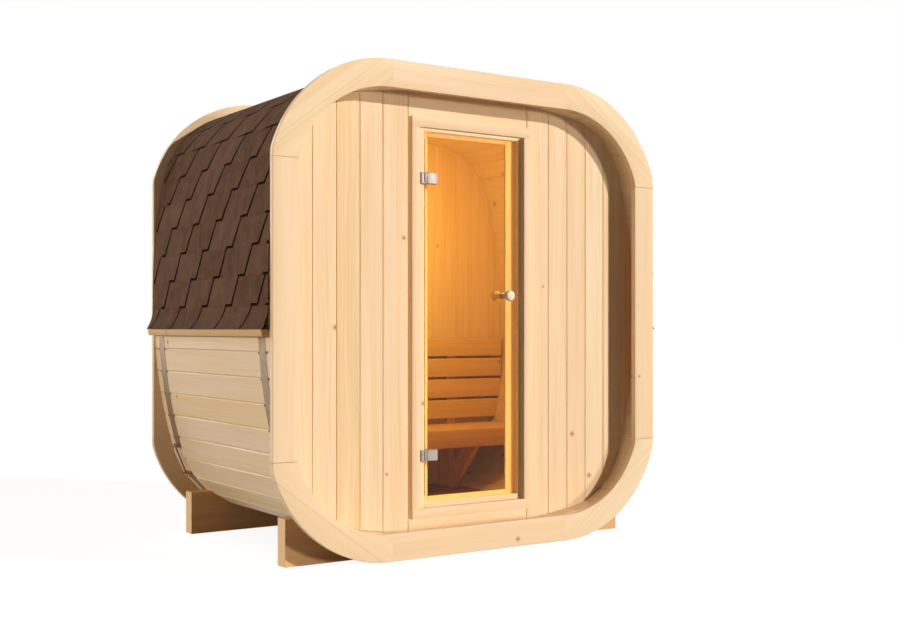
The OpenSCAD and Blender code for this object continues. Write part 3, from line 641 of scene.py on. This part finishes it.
band, tree, shader = new_finish("strap_steel", 0.42)
shader.inputs["Metallic"].default_value = 0.5
spangle = put(tree, "ShaderNodeTexVoronoi", {"Vector": put(tree, "ShaderNodeTexCoord").outputs[
    "Object"], "Scale": 90.0})
cloud = own_noise(tree, 9.0, 3.0)
grey = blended(tree, put(tree, "ShaderNodeSeparateColor", {0: spangle.outputs["Color"]}).outputs[0],
               (0.245, 0.148, 0.072, 1), (0.315, 0.20, 0.11, 1))
grey = blended(tree, ramp(tree, cloud, 0.5, 0.72, 0, 0.6), grey,
               (0.20, 0.125, 0.08, 1))
tree.links.new(grey, shader.inputs["Base Color"])
tree.links.new(ramp(tree, cloud, 0.3, 0.7, 0.34, 0.55), shader.inputs["Roughness"])
nut_steel, tree, shader = new_finish("nut_steel", 0.35)
shader.inputs["Metallic"].default_value = 0.85
tree.links.new(blended(tree, own_noise(tree, 60.0), (0.30, 0.24, 0.19, 1),
                       (0.52, 0.44, 0.36, 1)), shader.inputs["Base Color"])
# partly painted shade: the nails are real, but their near-black colour stands in for the shaded
# gaps where the band bridges each stave joint, and the rod is kept as dark as shade
dark_steel_painted_shade, tree, shader = new_finish("dark_steel_painted_shade", 0.55)
shader.inputs["Metallic"].default_value = 0.4
tree.links.new(blended(tree, own_noise(tree, 120.0), (0.05, 0.028, 0.02, 1),
                       (0.12, 0.07, 0.05, 1)), shader.inputs["Base Color"])


def turned(centre, axis, profile, sides=24):
    """Body of revolution: circles (or regular polygons) with the distances along the axis
    and the radii of the profile, closed flat at both ends."""
    n = np.asarray(axis, float) / np.linalg.norm(axis)
    p = np.cross(n, (0.0, 1.0, 0.0) if abs(n[1]) < 0.9 else (1.0, 0.0, 0.0))
    p /= np.linalg.norm(p)
    q = np.cross(n, p)
    s, r = np.asarray(profile, float).T
    a = np.arange(sides) * 2 * math.pi / sides
    round_ = np.cos(a)[:, None] * p + np.sin(a)[:, None] * q
    rings = np.asarray(centre, float) + s[:, None, None] * n + r[:, None, None] * round_
    return rings, s[:, None] + 0 * a, r[:, None] * a


lug_low, lug_high, rod_off = 0.940, 1.074, 0.0182
rod_end, rod_pitch, rod_r, thread_deep = 0.018, 0.00125, 0.0044, 0.0005
lug_half, washer_t, nut_t = 0.0043, 0.0012, 0.0062
nailed, nail_under, nail_beside = 16, 0.005, 0.006


def lug_point(t, d):
    """Point at length t on its stave's flat face, d outside it."""
    i = math.floor(t / stave_w + 0.5)
    x, z = facet(joint(i), joint(i + 1), (t - float(joint(i))) / stave_w, d)
    return np.array([float(x), 0.0, float(z) + mid_high])


nuts, rods, nails = [], [], []
for node_name in ("front_strap", "rear_strap"):
    coat(node_name, band)
    lo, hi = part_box(node_name)
    low, high = lug_point(lug_low, rod_off), lug_point(lug_high, rod_off)
    low[1] = high[1] = (lo.y + hi.y) / 2
    span = np.linalg.norm(high - low)
    way = (high - low) / span
    for at, n in ((low, -way), (high, way)):
        nuts.append(turned(at + n * lug_half, n, [(0, 0.0085), (washer_t, 0.0085)]))
        nuts.append(turned(at + n * (lug_half + washer_t + 0.0001), n,
                           [(0, 0.0066), (0.0006, 0.0072), (nut_t - 0.0006, 0.0072),
                            (nut_t, 0.0066)], 6))
    ridge = np.arange(-rod_end, span + rod_end, rod_pitch / 2)
    thread = [(s, rod_r - thread_deep * (k % 2)) for k, s in enumerate(ridge)]
    rods.append(turned(low, high - low, thread, 14))
    for i in range(1, nailed + 1):
        x, z = shell_at(joint(i) - nail_under, 0.0)
        out_x, out_z = shell_at(joint(i) - nail_under, 0.01)
        for s in (1, -1):
            for y in (lo.y - nail_beside, hi.y + nail_beside):
                nails.append(turned((s * float(x), y, float(z) + mid_high),
                             (s * float(out_x - x), 0, float(out_z - z)),
                             [(-0.002, 0.0042), (0.0010, 0.0042), (0.0020, 0.0030)], 8))
for name, pieces, finish in (("strap_nuts", nuts, nut_steel), ("strap_rods", rods, dark_steel_painted_shade),
                             ("strap_nails", nails, dark_steel_painted_shade)):
    loft(name, pieces, finish)

# Roof: build-up boards on the shell, an eave batten on each side, black felt and bitumen
# shingles. The shingles are strips cut into 256 mm tabs with slanted sides; every course is
# shifted by half a tab, and the open cuts run down the slope as stepped dark lines.
roof_wood = softwood("roof_wood", (0.62, 0.45, 0.27), (0.5, 0.33, 0.16), axes="YXZ", rough=0.65)
batten_wood = softwood("batten_wood", (0.64, 0.42, 0.18), (0.58, 0.35, 0.12), knotty=0.05)
coat("roof_boards_left", roof_wood)
coat("roof_boards_right", roof_wood)
roof_lo, roof_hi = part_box("roof_shingles_left")
base, board_play = 0.0018, 0.0005
rise = 0.700
build_low, build_more = 0.003, 0.034
t_eave = quarter + side_r * math.asin((roof_lo.z - mid_high) / side_r)
ridge_w = 0.241
t_ridge = half - ridge_w / 2
flare, flare_len = 0.032, 0.090
first_course, courses = 0.093, 14
course_h = (t_ridge - t_eave - first_course) / (courses - 1)
rows = np.append(t_eave, t_eave + first_course + course_h * np.arange(courses))
tab_pitch, tab_w, slant, first_cut = 0.256, 0.243, 0.070, 0.030
notch, notch_w, least_tab = 0.011, 0.060, 0.012
felt_face, tab_face, cap_faces = 0.0012, 0.0046, np.array([0.0066, 0.0052, 0.0040])


def deck(t):
    """Height of the shingles' underside over the shell: 1.8 mm for the strap, roof boards of
    3 mm that grow smoothly by 34 mm over the 700 mm above mid height, 0.5 mm of play, and a
    flare that grows with the square of the way down over the lowest 90 mm."""
    f = np.clip((np.minimum(t, 2 * half - t) - quarter) / rise, 0, 1)
    lift = np.clip(1 - (t - t_eave) / flare_len, 0, 1)
    return base + build_low + build_more * f * f * (3 - 2 * f) + board_play + flare * lift ** 2


lo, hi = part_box("eave_battens")
batten_t = 0.030
t_low = quarter + side_r * math.asin((lo.z - mid_high) / side_r)
x_low, z_low = shell_at(t_low, base)
x_high, z_high = shell_at(t_eave - 0.001, base)
x_out, z_out = shell_at(t_eave - 0.001, base + build_low + flare)
section = eased(np.array([(x_low, z_low), (x_low - batten_t, z_low), (x_out, z_out),
                          (x_high, z_high)]) + (0.0, mid_high), 0.0015, 2)
battens = []
for s in (1, -1):
    y = np.broadcast_to(np.array([[lo.y], [hi.y]]), (2, len(section)))
    rings = np.stack([np.broadcast_to(s * section[:, 0], y.shape), y,
                      np.broadcast_to(section[:, 1], y.shape)], -1)
    battens.append((rings, y, np.broadcast_to(section.sum(1), y.shape)))
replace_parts(loft("eave_strips", battens, batten_wood, (0.4, 0.4)), "eave_battens")

shingle, tree, shader = new_finish("shingle_felt", 0.92)
shader.inputs["Specular IOR Level"].default_value = 0.04
lay = put(tree, "ShaderNodeAttribute", attribute_name="lay").outputs["Vector"]
tone = put(tree, "ShaderNodeAttribute", attribute_name="tone").outputs["Fac"]
grit = put(tree, "ShaderNodeTexNoise", {"Vector": lay, "Scale": 280.0, "Detail": 4.0})
blot = put(tree, "ShaderNodeTexNoise", {"Vector": lay, "Scale": 14.0, "Detail": 3.0})
runs = put(tree, "ShaderNodeTexNoise", {"Vector": put(tree, "ShaderNodeVectorMath", {
    0: lay, 1: (6.0, 70.0, 1.0)}, operation="MULTIPLY").outputs[0], "Scale": 1.0, "Detail": 2.0})
mix = maths(tree, "ADD", maths(tree, "MULTIPLY", tone, 0.45), maths(tree, "ADD",
            ramp(tree, runs.outputs["Fac"], 0.3, 0.7, -0.1, 0.2),
            ramp(tree, blot.outputs["Fac"], 0.3, 0.7, -0.15, 0.4)))
brown = blended(tree, mix, (0.095, 0.047, 0.027, 1), (0.168, 0.090, 0.055, 1))
brown = blended(tree, ramp(tree, grit.outputs["Fac"], 0.50, 0.68, 0, 0.6), brown,
                (0.25, 0.135, 0.075, 1))
brown = blended(tree, ramp(tree, grit.outputs["Fac"], 0.48, 0.30, 0, 0.65), brown,
                (0.036, 0.016, 0.010, 1))
tree.links.new(brown, shader.inputs["Base Color"])
tree.links.new(put(tree, "ShaderNodeBump", {"Strength": 0.5, "Distance": 0.001,
               "Height": grit.outputs["Fac"]}).outputs[0], shader.inputs["Normal"])
underlay_felt, tree, shader = new_finish("underlay_felt", 0.95)
shader.inputs["Specular IOR Level"].default_value = 0.05
tree.links.new(blended(tree, own_noise(tree, 300.0), (0.010, 0.004, 0.003, 1),
                       (0.020, 0.009, 0.006, 1)), shader.inputs["Base Color"])


def sheet_over(t, y_from, y_to, d0, d1, side):
    """Closed strip over the shell: at each length t a flat section from y_from to y_to (one
    column to a share), its underside d0 and its upper face d1 above the deck."""
    lift = deck(t)
    x0, z0 = shell_at(t, lift + d0)
    x1, z1 = shell_at(t, lift + d1)
    share = np.linspace(0, 1, t.shape[1])
    y = np.broadcast_to(y_from + (y_to - y_from) * share, t.shape)
    rings = np.concatenate([np.stack([side * x1, y, z1 + mid_high], -1),
                            np.stack([side * x0, y, z0 + mid_high], -1)[:, ::-1]], 1)
    along = np.concatenate([t, t[:, ::-1]], 1)
    across = np.concatenate([y, y[:, ::-1]], 1)
    return rings, along, across


def tab(k, n, side):
    """Tab n of course k: between two slanted cuts 13 mm wide, five rows up the slope, its
    face 4.6 mm above the deck. The first 60 mm of its lower edge are cut back by 11 mm."""
    upper_y = first_cut + tab_pitch * (n if k % 2 == 0 else n - 0.5)
    columns = np.array([0, notch_w - 0.002, notch_w + 0.002, 0.12, 0.18, tab_w]) / tab_w
    v = np.linspace(0, 1, 5)[:, None]
    low = rows[k] + tight + np.where(columns < notch_w / tab_w, notch if k else 0.0, 0.0)
    t = low + (rows[k + 1] - tight - low) * v
    climb = (rows[k + 1] - t[:, 5:]) * slant / course_h
    left_cut = upper_y + climb + (tab_pitch - tab_w) / 2
    start = np.clip(left_cut, roof_lo.y, roof_hi.y)
    finish = np.clip(left_cut + tab_w, roof_lo.y, roof_hi.y)
    if (finish - start).max() < least_tab:
        return None
    rings, along, across = sheet_over(t, start, finish, felt_face, tab_face, side)
    y = start + (finish - start) * columns
    rings[..., 1] = np.concatenate([y, y[:, ::-1]], 1)
    return rings, along, rings[..., 1]


rng = np.random.default_rng(11)
for side, name in ((1, "left"), (-1, "right")):
    tabs = [tab(k, n, side) for k in range(courses) for n in range(-5, 6)]
    tabs = [piece for piece in tabs if piece is not None]
    piece = loft("shingle_tabs_" + name, tabs, shingle, rng.uniform(0, 1, len(tabs)))
    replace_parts(piece, "roof_shingles_" + name)
    t = np.broadcast_to(np.linspace(t_eave + 2 * tight, t_ridge, 70)[:, None], (70, 2))
    felt = sheet_over(t, roof_lo.y + 0.001, roof_hi.y - 0.001, tight, felt_face, side)
    loft("underlay_" + name, [felt], underlay_felt)

# Ridge: seven single bitumen shingles bent over the top and nailed down, each lapping the
# one before it towards the front.
caps = []
steps = np.linspace(roof_lo.y, roof_hi.y, 8)
for a, b in zip(steps[:-1], steps[1:]):
    t = np.linspace(t_ridge + tight, 2 * half - t_ridge - tight, 13)[:, None]
    caps.append(sheet_over(np.broadcast_to(t, (13, 3)), a + 0.0006, b - 0.0006, tight,
                           cap_faces, 1))
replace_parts(loft("ridge_caps", caps, shingle, rng.uniform(0, 1, len(caps))), "ridge_shingle")

# Door: one pane of 8 mm bronze tinted toughened glass. Two clamp hinges carry it: a satin
# plate with eased edges is screwed to the frame's step, the other is clamped on the glass,
# and the pin stands between them, 3.5 mm beside the pane and 7 mm in front of it.
glass, tree, shader = new_finish("bronze_glass", 0.02)
shader.inputs["Base Color"].default_value = (0.85, 0.61, 0.30, 1)
shader.inputs["Transmission Weight"].default_value = 1.0
shader.inputs["IOR"].default_value = 1.25
shader.inputs["Specular IOR Level"].default_value = 0.12
tree.links.new(ramp(tree, own_noise(tree, 3.0), 0.3, 0.8, 0.0, 0.03),
               shader.inputs["Roughness"])
hinge_metal, tree, shader = new_finish("hinge_metal", 0.3)
shader.inputs["Metallic"].default_value = 0.6
brushed = put(tree, "ShaderNodeTexNoise", {"Vector": put(tree, "ShaderNodeVectorMath", {
    0: put(tree, "ShaderNodeTexCoord").outputs["Object"], 1: (60.0, 60.0, 1500.0)},
    operation="MULTIPLY").outputs[0], "Scale": 1.0, "Detail": 2.0})
tree.links.new(blended(tree, brushed.outputs["Fac"], (0.36, 0.30, 0.265, 1),
                       (0.47, 0.40, 0.36, 1)), shader.inputs["Base Color"])
tree.links.new(ramp(tree, brushed.outputs["Fac"], 0.3, 0.7, 0.22, 0.4),
               shader.inputs["Roughness"])
coat("door_glass", glass)
cad["door_glass"].visible_shadow = False
glass_lo, glass_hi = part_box("door_glass")
fixed_lo, fixed_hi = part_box("frame_hinge_leaves")
moving_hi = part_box("door_hinge_leaves")[1]
pin_x, pin_y = glass_lo.x - 0.0035, glass_lo.y - 0.007
hinge_h, ear_h, web = 0.050, 0.005, 0.003
barrel_r, soft = 0.006, 0.0006
pin_r, pin_in, plate_end = 0.003, 0.004, pin_x - 0.009
clamp_in, screw_off = 0.008, 0.0165


def barrel(z, h):
    """Knuckle on the pin: a cylinder of 12 mm with small chamfers, from z up by h."""
    return turned((pin_x, pin_y, z), (0, 0, 1), [(0, barrel_r - 0.0004), (soft, barrel_r),
                  (h - soft, barrel_r), (h, barrel_r - 0.0004)], 28)


plates, leaves, clamps = [], [], []
for z in (fixed_lo.z, fixed_hi.z - hinge_h):
    plates.append(plank(fixed_lo.x, plate_end, fixed_lo.y, glass_lo.y, z, z + hinge_h, "Z",
                        0.0022))
    for k in (z, z + hinge_h - ear_h):
        plates.append(barrel(k, ear_h))
        plates.append(plank(plate_end - 0.001, pin_x, pin_y - web, pin_y + web, k, k + ear_h,
                            "X", 0.0004))
    plates.append(turned((pin_x, pin_y, z + pin_in), (0, 0, 1),
                         [(0, pin_r), (hinge_h - 2 * pin_in, pin_r)], 24))
    low, tall = z + ear_h + 0.0005, hinge_h - 2 * (ear_h + 0.0005)
    leaves.append(barrel(low, tall))
    leaves.append(plank(pin_x, pin_x + 0.008, pin_y - web, pin_y + web, low, low + tall, "X",
                        0.0004))
    leaves.append(plank(pin_x + 0.007, moving_hi.x, fixed_lo.y, glass_lo.y, z, z + hinge_h, "Z",
                        0.0026))
    clamps.append(plank(glass_lo.x + clamp_in, moving_hi.x, glass_hi.y, moving_hi.y, z,
                        z + hinge_h, "Z", 0.0015))
    for x in (-screw_off, screw_off):
        mid = (glass_lo.x + clamp_in + moving_hi.x) / 2 + x
        clamps.append(turned((mid, moving_hi.y - 0.0012, z + hinge_h / 2), (0, 1, 0),
                      [(0, 0.0042), (0.0008, 0.0042), (0.0012, 0.0034)], 20))
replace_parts(loft("hinge_plates_on_frame", plates, hinge_metal, sharp=25),
            "frame_hinge_leaves")
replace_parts(loft("hinge_plates_on_glass", leaves + clamps, hinge_metal, body="door", sharp=25),
            "door_hinge_leaves")

# Knobs: turned from birch, one on each face of the glass, with a slim neck and a domed head;
# they are drawn together by one screw through the pane.
knob_wood, tree, shader = new_finish("knob_wood", 0.4)
spot = put(tree, "ShaderNodeTexCoord").outputs["Object"]
knob_lo, knob_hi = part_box("door_knob_outer")
centre = (knob_lo + knob_hi) / 2
centred = put(tree, "ShaderNodeVectorMath", {0: spot, 1: (centre.x + 0.012, 0.0, centre.z - 0.02)},
              operation="SUBTRACT").outputs[0]
years = put(tree, "ShaderNodeTexWave", {"Vector": put(tree, "ShaderNodeVectorMath", {
    0: centred, 1: (1.0, 0.05, 1.0)}, operation="MULTIPLY").outputs[0], "Scale": 90.0,
    "Distortion": 1.6, "Detail": 1.0}, wave_type="RINGS", rings_direction="SPHERICAL")
tree.links.new(blended(tree, ramp(tree, years.outputs["Fac"], 0.2, 1.0, 0.0, 0.6),
                       (0.86, 0.70, 0.50, 1), (0.78, 0.56, 0.34, 1)),
               shader.inputs["Base Color"])
shader.inputs["Coat Weight"].default_value = 0.2
# the outline as shares of the knob's length and radius, from the glass outwards
knob_r, knob_len = (knob_hi.x - knob_lo.x) / 2, knob_hi.y - knob_lo.y
s = np.array([0, 0.004, 0.06, 0.16, 0.4, 0.52, 0.64, 0.71, 0.78, 0.84, 0.9, 0.95, 0.985, 1.0])
r = np.array([0.55, 0.59, 0.60, 0.44, 0.44, 0.63, 0.90, 0.97, 1.0, 0.99, 0.95, 0.86, 0.7, 0.4])
for node_name, y, out in (("door_knob_outer", knob_hi.y, -1),
                          ("door_knob_inner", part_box("door_knob_inner")[0].y, 1)):
    shape = np.stack([s * knob_len, r * knob_r], -1)
    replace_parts(loft(node_name + "_turned", [turned((centre.x, y, centre.z), (0, out, 0),
                shape, 40)], knob_wood, body="door", sharp=50), node_name)

# Stage: a pale matt floor and a white surround, a high and a low sun from the front right
# that draw the ring's shadow on the wall, weaker ones from the left and the rear, and a
# lamp in the cabin.
def seen_directly(tree):
    """One for rays from the camera, also by a mirror or through glass, and zero for the
    others."""
    rays = put(tree, "ShaderNodeLightPath").outputs
    return maths(tree, "MAXIMUM", rays["Is Camera Ray"],
                 maths(tree, "MAXIMUM", rays["Is Glossy Ray"], rays["Is Transmission Ray"]))


mesh = bpy.data.meshes.new("stage_floor")
reach = 60.0
mesh.from_pydata([(-reach, -reach, 0), (reach, -reach, 0), (reach, reach, 0),
                  (-reach, reach, 0)], [], [(0, 1, 2, 3)])
stage_floor = bpy.data.objects.new("stage_floor", mesh)
bpy.context.scene.collection.objects.link(stage_floor)
pale, tree, shader = new_finish("pale_floor", 0.9)
shader.inputs["Base Color"].default_value = (0.32, 0.32, 0.32, 1)
shader.inputs["Specular IOR Level"].default_value = 0.0
shader.inputs["Emission Color"].default_value = (1, 1, 1, 1)
tree.links.new(maths(tree, "MULTIPLY", seen_directly(tree), 0.89),
               shader.inputs["Emission Strength"])
mesh.materials.append(pale)

world = bpy.data.worlds.new("surround")
bpy.context.scene.world = world
world.use_nodes = True
tree = world.node_tree
ambient = tree.nodes["Background"]
ambient.inputs["Color"].default_value = (1.0, 0.86, 0.73, 1)
ambient.inputs["Strength"].default_value = 0.10
seen = put(tree, "ShaderNodeBackground", {"Color": (1, 1, 1, 1), "Strength": 1.0})
mixed = put(tree, "ShaderNodeMixShader", {0: seen_directly(tree), 1: ambient.outputs[0],
            2: seen.outputs[0]})
tree.links.new(mixed.outputs[0], tree.nodes["World Output"].inputs[0])


def sun(name, towards, strength, softness, colour):
    """Distant lamp whose light travels in the direction towards."""
    lamp = bpy.data.lights.new(name, "SUN")
    lamp.energy, lamp.angle, lamp.color = strength, softness, colour
    made = bpy.data.objects.new(name, lamp)
    x, y, z = towards
    made.rotation_euler = (math.atan2(math.hypot(x, y), -z), 0.0, math.atan2(-x, y))
    made.visible_glossy = made.visible_transmission = name != "low_key"
    bpy.context.scene.collection.objects.link(made)


sun("key", (-0.745, 1.0, -0.5), 2.6, 0.03, (1.0, 0.97, 0.93))
sun("low_key", (-0.745, 1.0, -0.06), 1.32, 0.12, (1.0, 0.95, 0.89))
sun("fill", (1.0, -0.05, -0.15), 1.68, 0.2, (1.0, 0.96, 0.90))
sun("back", (0.25, -1.0, -0.22), 1.2, 0.4, (1.0, 0.98, 0.95))
inside = bpy.data.lights.new("room_lamp", "AREA")
inside.energy, inside.size, inside.color = 9.5, 0.5, (1.0, 0.92, 0.42)
room = bpy.data.objects.new("room_lamp", inside)
room.location = (0.1, -0.2, 1.55)
room.rotation_euler = (math.radians(72), 0.0, 0.0)
room.visible_camera = room.visible_glossy = room.visible_transmission = False
bpy.context.scene.collection.objects.link(room)
